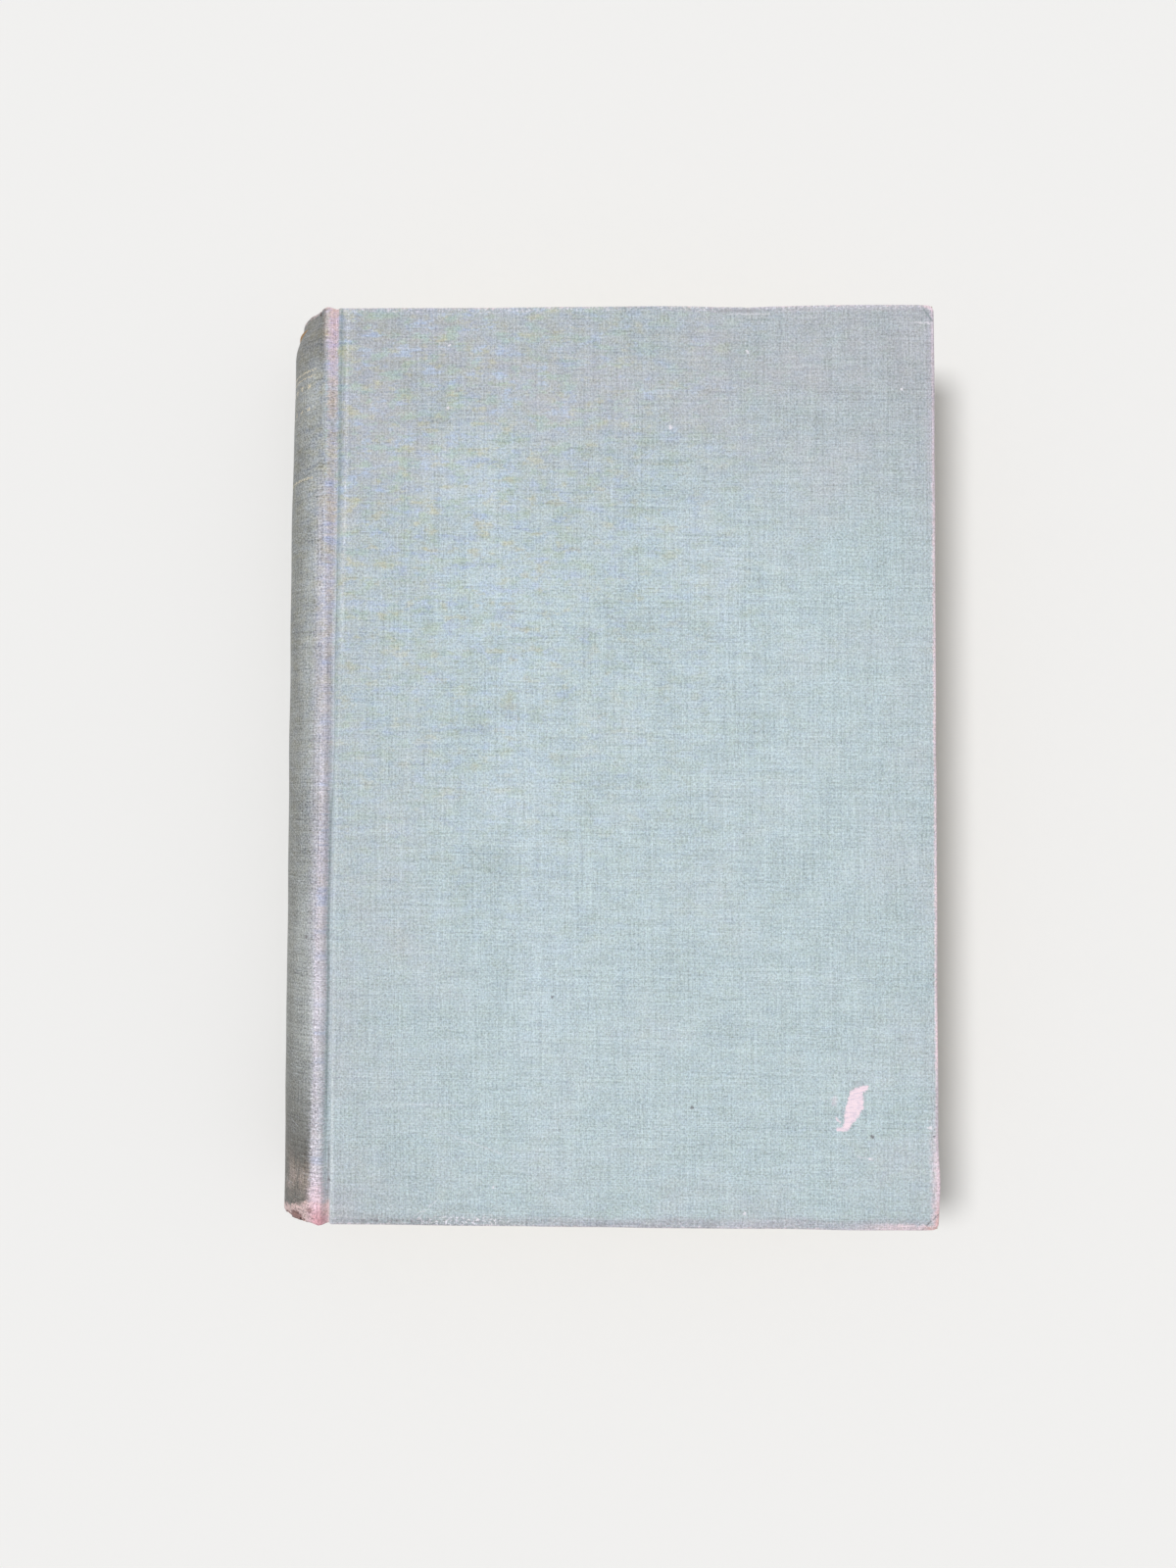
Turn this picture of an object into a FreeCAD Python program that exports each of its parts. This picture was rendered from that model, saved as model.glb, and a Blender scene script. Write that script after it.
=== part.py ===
import FreeCAD, Part
import math
import os
import re
import Sketcher

# Hardback book in cloth, lying on its back cover. Millimetres, +Z up, head of the book towards +Y, spine
# towards -X. The origin is under the middle of the book, on the surface it lies on.

doc = FreeCAD.newDocument("hardback_book")
sheet = doc.addObject("Spreadsheet::Sheet", "sizes")

# Driving dimensions
sizes = {
    # the case, measured over its cloth
    "case_height": 225.0,
    "case_thick": 34.0,
    "board_width": 146.5,
    "corner_round": 1.6,
    # the joint, from the board's edge to the ridge beside the spine
    "joint_wide": 3.3,
    "groove_deep": 1.1,
    "ridge_drop": 0.2,
    # how far the round of the spine stands beyond the ridges
    "spine_round": 12.1,
    # what the case is made of
    "board_thick": 2.6,
    "cloth_thick": 0.35,
    "inlay_thick": 0.6,
    "paper_thick": 0.2,
    "mull_thick": 0.2,
    "lining_thick": 0.3,
    # cloth folded over the boards' and the inlay's edges
    "turn_in": 15.0,
    # how far the covers stand beyond the leaves, and how far the leaves' fore edge is hollowed
    "square": 3.0,
    "fore_hollow": 7.5,
    # open cloth that ties the block to the boards: its wings, and how much shorter than the leaves it is
    "mull_wing": 22.0,
    "mull_short": 12.0,
    # bands at the two ends of the spine, and the half angle that they cover
    "band_thick": 2.0,
    "band_half_angle": 56.0,
    # clearances: in the hollow back, between cover and flyleaf, beside the shoulder, behind the board's edge
    "hollow_gap": 0.6,
    "cover_gap": 0.2,
    "shoulder_gap": 0.3,
    "hinge_gap": 0.3,
}

# Places worked out from them. Heights are counted from the middle of the book's thickness.
places = {
    "case_half": "case_thick / 2",
    "head": "case_height / 2",
    "fore_edge": "(board_width + joint_wide + spine_round) / 2",
    "board_edge": "fore_edge - board_width",
    "ridge_side": "board_edge - joint_wide",
    "ridge_half": "case_half - ridge_drop",
    # the layers over the spine share one axis and end on the line from it to the ridge
    "spine_radius": "(spine_round ^ 2 + ridge_half ^ 2) / (2 * spine_round)",
    "spine_axis": "spine_radius - fore_edge",
    "inlay_radius": "spine_radius - cloth_thick",
    "turned_radius": "inlay_radius - inlay_thick",
    "lining_radius": "turned_radius - hollow_gap",
    "mull_radius": "lining_radius - lining_thick",
    "block_radius": "mull_radius - mull_thick",
    "ridge_angle": "asin(ridge_half / spine_radius)",
    "ridge_under": "ridge_half * inlay_radius / spine_radius",
    "ridge_under_side": "spine_axis + (ridge_side - spine_axis) * inlay_radius / spine_radius",
    "tip_half": "ridge_half * block_radius / spine_radius",
    "tip_side": "spine_axis + (ridge_side - spine_axis) * block_radius / spine_radius",
    # from the boards inwards
    "board_inside": "case_half - cloth_thick - board_thick",
    "cover_inside": "board_inside - cloth_thick - paper_thick",
    "leaf_half": "cover_inside - cover_gap",
    "block_half": "leaf_half - paper_thick",
    "page_head": "head - square",
    "page_edge": "fore_edge - square",
    "shoulder_root": "board_edge - shoulder_gap",
    "paste_edge": "board_edge + hinge_gap",
    "mull_head": "page_head - mull_short",
}


# Expressions: a text may name sizes and places, and is bound to the sheet

def spelled(text):
    # the text with each place written out in sizes
    def spell(word):
        return f"({spelled(places[word[0]])})" if word[0] in places else word[0]
    return re.sub(r"[a-z_]+", spell, text)


def bound(text):
    # the same, with each size as a cell of the sheet
    def name_cell(word):
        return f"sizes.{word[0]}" if word[0] in sizes else word[0]
    return re.sub(r"[a-z_]+", name_cell, spelled(text))


def value(text):
    return float(sheet.evalExpression(spelled(text)))


def fill_sheet():
    for row, (name, size) in enumerate(sizes.items(), start=1):
        sheet.set(f"A{row}", name)
        sheet.set(f"B{row}", str(size))
        sheet.setAlias(f"B{row}", name)
    doc.recompute()


# Sketches: every corner and radius is a named constraint that follows the sheet

def new_sketch(body, name, role, lift="0"):
    sketch = body.newObject("Sketcher::SketchObject", name)
    plane = next(plane for plane in body.Origin.OriginFeatures if plane.Role == role)
    sketch.AttachmentSupport = [(plane, "")]
    sketch.MapMode = "FlatFace"
    sketch.setExpression("AttachmentOffset.Base.z", bound(lift))
    return sketch


def bind(sketch, name, kind, ends, text):
    index = sketch.addConstraint(Sketcher.Constraint(kind, *ends, value(text)))
    sketch.renameConstraint(index, name)
    sketch.setExpression(f"Constraints.{name}", bound(text))


def arc_between(start, end, radius, side):
    # side is 1 where the centre lies on the left of the way from start to end, and -1 on the right
    chord = end - start
    left = FreeCAD.Vector(-chord.y, chord.x, 0).normalize()
    reach = math.sqrt(radius ** 2 - chord.Length ** 2 / 4)
    centre = start + chord * 0.5 + left * (side * reach)
    first, last = (start, end) if side > 0 else (end, start)
    from_angle = math.atan2(first.y - centre.y, first.x - centre.x)
    to_angle = math.atan2(last.y - centre.y, last.x - centre.x)
    return Part.ArcOfCircle(Part.Circle(centre, FreeCAD.Vector(0, 0, 1), radius), from_angle, to_angle)


def draw_outline(sketch, corners):
    # a corner is its x and y; one that begins an arc adds the arc's radius and the side of its centre
    points = [FreeCAD.Vector(value(corner[0]), value(corner[1]), 0) for corner in corners]
    ends = []
    for index, corner in enumerate(corners):
        start = points[index]
        end = points[(index + 1) % len(points)]
        side = corner[3] if len(corner) > 2 else 1
        if len(corner) > 2:
            edge = sketch.addGeometry(arc_between(start, end, value(corner[2]), side))
            bind(sketch, f"radius_{index}", "Radius", (edge,), corner[2])
        else:
            edge = sketch.addGeometry(Part.LineSegment(start, end))
        ends.append((edge, 1, 2) if side > 0 else (edge, 2, 1))
    for index, (edge, first, last) in enumerate(ends):
        following = ends[(index + 1) % len(ends)]
        sketch.addConstraint(Sketcher.Constraint("Coincident", edge, last, following[0], following[1]))
        bind(sketch, f"x_{index}", "DistanceX", (-1, 1, edge, first), corners[index][0])
        bind(sketch, f"y_{index}", "DistanceY", (-1, 1, edge, first), corners[index][1])


def panel(left, right, half_height, rounding=None):
    # a rectangle seen from above, with its two fore edge corners rounded where a rounding is given
    if rounding is None:
        tail = f"-({half_height})"
        return [(left, tail), (right, tail), (right, half_height), (left, half_height)]
    return [
        (left, f"-({half_height})"),
        (f"{right} - ({rounding})", f"-({half_height})", rounding, 1),
        (right, f"{rounding} - ({half_height})"),
        (right, f"{half_height} - ({rounding})", rounding, 1),
        (f"{right} - ({rounding})", half_height),
        (left, half_height),
    ]


def layer(inner, outer, half_length):
    # the section of a layer over the spine, beside the spine's axis
    return [
        (f"-({outer})", f"-({half_length})"),
        (f"-({inner})", f"-({half_length})"),
        (f"-({inner})", half_length),
        (f"-({outer})", half_length),
    ]


# Sub-parts: each is a body whose own place follows the sheet too

made = []


def new_body(node, across="0", turned=False):
    body = doc.addObject("PartDesign::Body", node)
    flip = FreeCAD.Rotation(FreeCAD.Vector(1, 0, 0), 180 if turned else 0)
    body.Placement = FreeCAD.Placement(FreeCAD.Vector(0, 0, 0), flip)
    body.setExpression("Placement.Base.x", bound(across))
    body.setExpression("Placement.Base.z", bound("case_half"))
    made.append(body)
    return body


def pad(body, sketch, length, both_ways=False):
    feature = body.newObject("PartDesign::Pad", f"{sketch.Name}_pad")
    feature.Profile = sketch
    feature.setExpression("Length", bound(length))
    if both_ways:
        feature.SideType = "Symmetric"
    doc.recompute()


def pocket(body, sketch, length):
    before = body.Shape.Volume
    feature = body.newObject("PartDesign::Pocket", f"{sketch.Name}_pocket")
    feature.Profile = sketch
    feature.Reversed = True
    feature.setExpression("Length", bound(length))
    doc.recompute()
    if body.Shape.Volume >= before:
        raise RuntimeError(f"{feature.Name} cuts nothing")


def revolve(body, sketch, half_angle):
    feature = body.newObject("PartDesign::Revolution", f"{sketch.Name}_turn")
    feature.Profile = sketch
    feature.ReferenceAxis = (sketch, ["V_Axis"])
    feature.Midplane = True
    feature.setExpression("Angle", bound(f"2 * {half_angle}"))
    doc.recompute()


def make_sheet_part(node, turned, corners, lift, thick):
    body = new_body(node, turned=turned)
    outline = new_sketch(body, f"{node}_outline", "XY_Plane", lift)
    draw_outline(outline, corners)
    pad(body, outline, thick)
    return body


def make_spine_layer(node, corners):
    body = new_body(node, across="spine_axis")
    section = new_sketch(body, f"{node}_section", "XY_Plane")
    draw_outline(section, corners)
    revolve(body, section, "ridge_angle")


# The block of sewn leaves: rounded and backed at the spine, so its shoulders stand out under the joints
def make_page_block():
    body = new_body("page_block")
    section = new_sketch(body, "page_block_section", "XZ_Plane")
    hollow_radius = "fore_hollow / 2 + block_half ^ 2 / (2 * fore_hollow)"
    draw_outline(section, [
        ("tip_side", "tip_half", "block_radius", 1),
        ("tip_side", "-tip_half"),
        ("shoulder_root", "-block_half"),
        ("page_edge", "-block_half", hollow_radius, -1),
        ("page_edge", "block_half"),
        ("shoulder_root", "block_half"),
    ])
    pad(body, section, "2 * page_head", both_ways=True)


# A free endpaper, tipped to the block beside the shoulder
def make_flyleaf(side, turned):
    outline = panel("shoulder_root", "page_edge", "page_head")
    make_sheet_part(f"{side}_flyleaf", turned, outline, "block_half", "paper_thick")


# Open cloth and paper glued round the back of the block
def make_spine_mull():
    make_spine_layer("spine_mull", layer("block_radius", "mull_radius", "mull_head"))


def make_spine_lining():
    make_spine_layer("spine_lining", layer("mull_radius", "lining_radius", "page_head"))


# A rolled band that follows the back of the leaves at the head or the tail
def make_band(node, end):
    body = new_body(node, across="spine_axis")
    section = new_sketch(body, f"{node}_section", "XY_Plane")
    middle = ("band_thick / 2 - block_radius", f"{end} * (page_head + band_thick / 2)")
    centre = FreeCAD.Vector(value(middle[0]), value(middle[1]), 0)
    edge = section.addGeometry(Part.Circle(centre, FreeCAD.Vector(0, 0, 1), value("band_thick / 2")))
    bind(section, "radius", "Radius", (edge,), "band_thick / 2")
    bind(section, "x_middle", "DistanceX", (-1, 1, edge, 3), middle[0])
    bind(section, "y_middle", "DistanceY", (-1, 1, edge, 3), middle[1])
    revolve(body, section, "band_half_angle")


# The stiff strip in the back of the case
def make_spine_inlay():
    make_spine_layer("spine_inlay", layer("turned_radius", "inlay_radius", "head - cloth_thick"))


# Cloth over the spine, folded in over the strip's two ends to make the caps
def make_spine_cloth():
    folded = "(turned_radius - cloth_thick)"
    make_spine_layer("spine_cloth", [
        ("-spine_radius", "-head"),
        (f"-{folded}", "-head"),
        (f"-{folded}", "turn_in - head"),
        ("-turned_radius", "turn_in - head"),
        ("-turned_radius", "cloth_thick - head"),
        ("-inlay_radius", "cloth_thick - head"),
        ("-inlay_radius", "head - cloth_thick"),
        ("-turned_radius", "head - cloth_thick"),
        ("-turned_radius", "head - turn_in"),
        (f"-{folded}", "head - turn_in"),
        (f"-{folded}", "head"),
        ("-spine_radius", "head"),
    ])


# Cloth pressed into the groove between the ridge and the board's edge, which folds as the cover opens
def make_joint_cloth(side, turned):
    body = new_body(f"{side}_joint_cloth", turned=turned)
    section = new_sketch(body, f"{side}_joint_cloth_section", "XZ_Plane")
    under = "(case_half - cloth_thick)"
    outer_chord = "(joint_wide ^ 2 + ridge_drop ^ 2)"
    inner_chord = f"((board_edge - ridge_under_side) ^ 2 + ({under} - ridge_under) ^ 2)"
    draw_outline(section, [
        ("ridge_side", "ridge_half", f"groove_deep / 2 + {outer_chord} / (8 * groove_deep)", 1),
        ("board_edge", "case_half"),
        ("board_edge", under, f"groove_deep / 2 + {inner_chord} / (8 * groove_deep)", -1),
        ("ridge_under_side", "ridge_under"),
    ])
    pad(body, section, "case_height", both_ways=True)


# A cover's board, with the cloth round it
def board_outline():
    rounding = "corner_round - cloth_thick"
    return panel("board_edge", "fore_edge - cloth_thick", "head - cloth_thick", rounding)


def make_board(side, turned):
    make_sheet_part(f"{side}_board", turned, board_outline(), "board_inside", "board_thick")


def make_cover_cloth(side, turned):
    node = f"{side}_cloth"
    outline = panel("board_edge", "fore_edge", "head", "corner_round")
    under = "board_inside - cloth_thick"
    body = make_sheet_part(node, turned, outline, under, "board_thick + 2 * cloth_thick")
    room = new_sketch(body, f"{node}_board_room", "XY_Plane", "board_inside")
    draw_outline(room, board_outline())
    pocket(body, room, "board_thick")
    window = new_sketch(body, f"{node}_window", "XY_Plane", under)
    draw_outline(window, panel("board_edge", "fore_edge - turn_in", "head - turn_in"))
    pocket(body, window, "cloth_thick")


# The wing of the open cloth, glued to the board under the endpaper
def wing_outline():
    return panel("paste_edge", "paste_edge + mull_wing", "mull_head")


def make_mull_flange(side, turned):
    lift = "board_inside - mull_thick"
    make_sheet_part(f"{side}_mull_flange", turned, wing_outline(), lift, "mull_thick")


# The endpaper glued inside the cover, over the turned-in cloth, the board and the wing
def make_pastedown(side, turned):
    node = f"{side}_pastedown"
    outline = panel("paste_edge", "page_edge", "page_head")
    body = make_sheet_part(node, turned, outline, "cover_inside", "paper_thick")
    filling = new_sketch(body, f"{node}_filling", "XY_Plane", "cover_inside")
    draw_outline(filling, panel("paste_edge", "fore_edge - turn_in", "head - turn_in"))
    pad(body, filling, "board_inside - cover_inside")
    room = new_sketch(body, f"{node}_wing_room", "XY_Plane", "board_inside - mull_thick")
    draw_outline(room, wing_outline())
    pocket(body, room, "mull_thick")


fill_sheet()
make_page_block()
make_spine_mull()
make_spine_lining()
make_band("headband", 1)
make_band("tailband", -1)
make_spine_inlay()
make_spine_cloth()
for side, turned in (("front", False), ("back", True)):
    make_flyleaf(side, turned)
    make_joint_cloth(side, turned)
    make_board(side, turned)
    make_cover_cloth(side, turned)
    make_mull_flange(side, turned)
    make_pastedown(side, turned)
doc.recompute()

# Every object has to be sound before any file is written
for item in doc.Objects:
    if {"Invalid", "Error"} & set(item.State):
        raise RuntimeError(f"{item.Name} is {item.State}")
for body in made:
    if body.Shape.isNull() or not body.Shape.isValid():
        raise RuntimeError(f"{body.Label} has no sound shape")

os.makedirs("parts", exist_ok=True)
for body in made:
    body.Shape.exportStep(f"parts/{body.Label}.step")
    print(f"{body.Label}: {body.Shape.Volume / 1000:.2f} cm3")
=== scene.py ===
import math
import random

import bpy
import numpy as np
from mathutils import Euler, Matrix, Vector, noise


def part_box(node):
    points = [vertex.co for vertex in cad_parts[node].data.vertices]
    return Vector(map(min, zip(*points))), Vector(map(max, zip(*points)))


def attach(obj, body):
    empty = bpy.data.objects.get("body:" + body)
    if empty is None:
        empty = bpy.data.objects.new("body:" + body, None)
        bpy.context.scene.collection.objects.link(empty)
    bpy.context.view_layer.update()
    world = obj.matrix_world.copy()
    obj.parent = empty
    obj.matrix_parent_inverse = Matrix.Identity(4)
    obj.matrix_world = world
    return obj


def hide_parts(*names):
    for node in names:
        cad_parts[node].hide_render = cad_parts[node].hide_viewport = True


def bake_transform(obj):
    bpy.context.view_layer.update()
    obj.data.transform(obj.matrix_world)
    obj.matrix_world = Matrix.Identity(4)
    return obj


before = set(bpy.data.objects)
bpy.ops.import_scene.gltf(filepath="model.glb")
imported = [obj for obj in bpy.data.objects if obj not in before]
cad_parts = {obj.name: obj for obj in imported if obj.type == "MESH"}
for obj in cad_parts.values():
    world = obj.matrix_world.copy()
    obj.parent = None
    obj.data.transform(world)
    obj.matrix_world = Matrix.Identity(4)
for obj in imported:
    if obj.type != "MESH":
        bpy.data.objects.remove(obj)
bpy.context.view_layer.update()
mm = 0.001
print("the frame is loaded")


def nodeBox(node):
    # Lowest and highest corner of a part of the frame, in millimetres
    return [[value / mm for value in corner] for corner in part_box(node)]


coverLow, coverHigh = nodeBox("front_cloth")
spineLow, spineHigh = nodeBox("spine_cloth")
boardLow, boardHigh = nodeBox("front_board")
inlayLow, inlayHigh = nodeBox("spine_inlay")
blockLow, blockHigh = nodeBox("page_block")
leafLow, leafHigh = nodeBox("front_flyleaf")
pasteLow = nodeBox("front_pastedown")[0]
bandLow = nodeBox("headband")[0]

# What the frame says about the binding, in millimetres
book = {
    "top": coverHigh[2],
    "middle": coverHigh[2] / 2,
    "head": coverHigh[1],
    "fore": coverHigh[0],
    "under": coverLow[2],
    "boardSide": coverLow[0],
    "ridgeSide": nodeBox("front_joint_cloth")[0][0],
    "ridgeTop": spineHigh[2],
    "spineBack": spineLow[0],
    "clothThick": inlayLow[0] - spineLow[0],
    "turnInEdge": nodeBox("front_mull_flange")[1][1],
}
spineReach = book["ridgeSide"] - book["spineBack"]
ridgeRise = book["ridgeTop"] - book["middle"]
book["spineRadius"] = (spineReach**2 + ridgeRise**2) / (2 * spineReach)
book["spineAxis"] = book["spineBack"] + book["spineRadius"]
book["ridgeAngle"] = math.asin(ridgeRise / book["spineRadius"])

# Camera: straight above the book, as the photograph was taken
view = {
    "place": (0.0027181, -0.0142837, 0.3203762),
    "turn": (1.75, 1.26, 0.16),  # degrees about X, Y and Z
    "lens": 27.0,
    "sensor": 36.0,
    "wide": 1200,  # pixels of the photograph
    "high": 1600,
}


def placed(name, data):
    made = bpy.data.objects.new(name, data)
    bpy.context.scene.collection.objects.link(made)
    return made


def addCamera():
    data = bpy.data.cameras.new("camera")
    data.lens = view["lens"]
    data.sensor_width = view["sensor"]
    data.clip_start = 0.01
    camera = placed("camera", data)
    camera.location = view["place"]
    camera.rotation_mode = "ZYX"
    camera.rotation_euler = [math.radians(angle) for angle in view["turn"]]
    bpy.context.scene.camera = camera


def onCover(pixel):
    # Where on the front cover a pixel of the photograph lies, in millimetres
    focal = view["lens"] / view["sensor"] * view["high"]
    turn = Euler([math.radians(angle) for angle in view["turn"]], "ZYX").to_matrix()
    ray = turn @ Vector(((pixel[0] - view["wide"] / 2) / focal, (view["high"] / 2 - pixel[1]) / focal, -1))
    reach = (book["top"] * mm - view["place"][2]) / ray.z
    spot = Vector(view["place"]) + reach * ray
    return spot.x / mm, spot.y / mm


# A number or vector in a node tree: sums, products and the like add nodes, and one | two is the larger
class Value:
    def __init__(self, tree, socket):
        self.tree = tree
        self.socket = socket

    def __add__(self, other):
        return self.tree.math("ADD", self, other)

    def __sub__(self, other):
        return self.tree.math("SUBTRACT", self, other)

    def __rsub__(self, other):
        return self.tree.math("SUBTRACT", other, self)

    def __mul__(self, other):
        return self.tree.math("MULTIPLY", self, other)

    def __or__(self, other):
        return self.tree.math("MAXIMUM", self, other)

    def __abs__(self):
        return self.tree.math("ABSOLUTE", self)

    __radd__ = __add__

    def rise(self, low, high):
        # 0 below low and 1 above high, or the other way round
        ends = (min(low, high), max(low, high), float(low > high), float(low <= high))
        made = self.tree.node("ShaderNodeMapRange", self, *ends, interpolation_type="SMOOTHSTEP")
        return Value(self.tree, made.outputs[0])

    def near(self, centre, half, soft):
        # 1 within half of the centre, fading to 0 over soft
        return abs(self - centre).rise(half + soft, max(half - soft, 0.0))

    def wave(self, length):
        return self.tree.math("COSINE", self * (2 * math.pi / length))


# Builds the nodes of a material or of the world
class Tree:
    def __init__(self, owner):
        self.owner = owner
        self.nodes = owner.node_tree.nodes
        self.links = owner.node_tree.links

    def node(self, kind, *values, **settings):
        # Adds a node and feeds the values to its inputs in their order
        made = self.nodes.new(kind)
        for name, value in settings.items():
            setattr(made, name, value)
        for value, socket in zip(values, made.inputs):
            self.feed(value, socket)
        return made

    def feed(self, value, socket):
        # Takes a value, a number, a vector, or a colour by its name or in linear light
        if isinstance(value, Value):
            self.links.new(value.socket, socket)
            return
        value = colours[value] if isinstance(value, str) else value
        socket.default_value = (*value, 1) if socket.type == "RGBA" else value

    def math(self, operation, *values, clamp=False):
        made = self.node("ShaderNodeMath", *values, operation=operation, use_clamp=clamp)
        return Value(self, made.outputs[0])

    def vector(self, operation, *values):
        made = self.node("ShaderNodeVectorMath", *values, operation=operation)
        return Value(self, made.outputs["Value" if operation in ("DISTANCE", "DOT_PRODUCT") else "Vector"])

    def mix(self, share, one, two, blend="MIX"):
        made = self.node("ShaderNodeMix", share, data_type="RGBA", blend_type=blend)
        self.feed(one, made.inputs[6])
        self.feed(two, made.inputs[7])
        return Value(self, made.outputs[2])

    def attribute(self, name):
        return Value(self, self.node("ShaderNodeAttribute", attribute_name=name).outputs["Vector"])

    def split(self, vector):
        return [Value(self, part) for part in self.node("ShaderNodeSeparateXYZ", vector).outputs]

    def join(self, *values):
        return Value(self, self.node("ShaderNodeCombineXYZ", *values).outputs[0])

    def grain(self, place, stretch, detail=2, rough=0.5, shift=(0, 0, 0), colour=False):
        # Noise whose cells are 1 / stretch millimetres across; without depth where stretch has none
        spot = self.vector("MULTIPLY_ADD", place, stretch, shift)
        depth = "3D" if stretch[2] else "2D"
        made = self.node("ShaderNodeTexNoise", spot, 0, 1, detail, rough, noise_dimensions=depth)
        return Value(self, made.outputs["Color" if colour else "Fac"])

    def yarns(self, place, length, width, shift=(0, 0, 0), upright=False):
        # Noise drawn out along single yarns; each yarn starts elsewhere, so no grid shows
        along, beside, _ = self.split(place)
        if upright:
            along, beside = beside, along
        yarn = beside * (1 / width)
        start = self.math("MULTIPLY_ADD", yarn, 0.618, along * (1 / length))
        return self.grain(self.join(start, yarn, 0), (1, 1, 0), 3, 0.6, shift)

    def objectPlace(self):
        # Object coordinates in millimetres, for pieces that never bend
        spot = Value(self, self.node("ShaderNodeTexCoord").outputs["Object"])
        return self.vector("MULTIPLY", spot, (1 / mm, 1 / mm, 1 / mm))

    def stroke(self, place, start, end, startWide, endWide, soft):
        # A rounded stroke between two pixels of the photograph, its half width changing along it
        start, end = onCover(start), onCover(end)
        along = (end[0] - start[0], end[1] - start[1], 0)
        length = along[0] ** 2 + along[1] ** 2
        before = -(start[0] * along[0] + start[1] * along[1]) / length
        run = self.vector("DOT_PRODUCT", place, along)
        share = self.math("MULTIPLY_ADD", run, 1 / length, before, clamp=True)
        away = self.vector("DISTANCE", place, self.vector("MULTIPLY_ADD", share, along, (*start, 0)))
        return (away - (share * (endWide - startWide) + startWide)).rise(soft, -soft)


class Finish(Tree):
    def __init__(self, name, roughness, specular, sheen=0.0):
        material = bpy.data.materials.new(name)
        material.use_nodes = True
        super().__init__(material)
        self.shader = self.nodes["Principled BSDF"]
        wanted = {"Roughness": roughness, "Specular IOR Level": specular, "Sheen Weight": sheen}
        for label, value in wanted.items():
            self.shader.inputs[label].default_value = value

    def made(self, colour, height, depth, strength):
        # Gives the material its colour and relief; a height of 1 stands out by depth, in millimetres
        self.feed(colour, self.shader.inputs["Base Color"])
        bump = self.node("ShaderNodeBump")
        bump.inputs["Strength"].default_value = strength
        bump.inputs["Distance"].default_value = depth * mm
        self.feed(height, bump.inputs["Height"])
        self.links.new(bump.outputs[0], self.shader.inputs["Normal"])
        return self.owner


def linear(red, green, blue):
    # A colour as a screen shows it (0 to 255), for the shader
    shown = [value / 255 for value in (red, green, blue)]
    return tuple(part / 12.92 if part <= 0.04045 else ((part + 0.055) / 1.055) ** 2.4 for part in shown)


# Mesh helpers
def addPiece(name, points, faces, finish, attributes=None, smooth=True):
    # Points are in millimetres; each attribute holds a vector for each point
    mesh = bpy.data.meshes.new(name)
    mesh.from_pydata([[value * mm for value in point] for point in points], [], faces)
    for label, values in (attributes or {}).items():
        made = mesh.attributes.new(label, "FLOAT_VECTOR", "POINT")
        made.data.foreach_set("vector", np.array(values, np.float32).ravel())
    mesh.validate()
    mesh.polygons.foreach_set("use_smooth", [smooth] * len(mesh.polygons))
    if smooth:
        # open borders get crisp normals, so two sheets can meet without a shadow
        edgeOf = np.empty(len(mesh.loops), int)
        mesh.loops.foreach_get("edge_index", edgeOf)
        mesh.edges.foreach_set("use_edge_sharp", np.bincount(edgeOf, minlength=len(mesh.edges)) == 1)
    mesh.materials.append(finish)
    piece = placed(name, mesh)
    return piece


def thicken(piece, thick, offset=-1):
    # Gives a sheet its thickness: inward, or on both sides where offset is 0
    made = piece.modifiers.new("thickness", "SOLIDIFY")
    made.thickness = thick * mm
    made.offset = offset


def gridFaces(wide, high, first=0):
    # Quads over rows of points; first is the number of the first point
    corners = [first + row * wide + column for row in range(high - 1) for column in range(wide - 1)]
    return [(corner, corner + 1, corner + wide + 1, corner + wide) for corner in corners]


def mirrored(points, faces, side):
    # Where side is -1, the same sheet on the back of the book
    if side > 0:
        return points, faces
    turned = [(x, y, 2 * book["middle"] - z) for x, y, z in points]
    return turned, [tuple(reversed(face)) for face in faces]


def slabFaces(wide, high, first=0):
    # Both faces and the rim of a slab, whose lower grid of points follows the upper one
    layer = wide * high
    faces = []
    for quad in gridFaces(wide, high, first):
        faces += [quad, tuple(index + layer for index in reversed(quad))]
    rim = list(range(wide))
    rim += [row * wide + wide - 1 for row in range(1, high)]
    rim += [(high - 1) * wide + column for column in range(wide - 2, -1, -1)]
    rim += [row * wide for row in range(high - 2, 0, -1)]
    for one, two in zip(rim, rim[1:] + rim[:1]):
        faces.append((first + two, first + one, first + one + layer, first + two + layer))
    return faces


def spaced(low, high, step, fine=()):
    # Even places from low to high, with the finer ones of fine at both ends
    edge = max(fine, default=0)
    count = max(2, round((high - low - 2 * edge) / step))
    inner = list(np.linspace(low + edge, high - edge, count + 1))
    start = [low + value for value in fine if value < edge]
    end = [high - value for value in reversed(fine) if value < edge]
    return start + inner + end


def ease(value):
    value = min(max(value, 0.0), 1.0)
    return value * value * (3 - 2 * value)


def bell(value, centre, half):
    return math.exp(-(((value - centre) / half) ** 2))


# Wear that changes the shape, in millimetres; the boards and the cloth share it
dents = {
    "headAt": 33.0,  # the knocked stretch of the head edge
    "headHalf": 9.0,
    "headDeep": 0.48,
    "headReach": 4.0,
    "foreAt": -101.0,  # the swollen stretch of the fore edge
    "foreHalf": 5.5,
    "foreProud": 0.4,
    "cornerReach": 5.0,
    "cornerDrop": 0.45,  # how far the front corners are pressed down
    "waviness": 0.16,
    "wave": 17.0,
    "spineLean": 0.6,  # how far the back of the spine is pressed in towards the head
    "capLean": 2.0,  # and its very end, where the book is pulled from a shelf
    "capRagged": 0.35,
    "ridgeTip": 0.45,  # how far the ridges stand beyond the boards at head and tail
}


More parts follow.
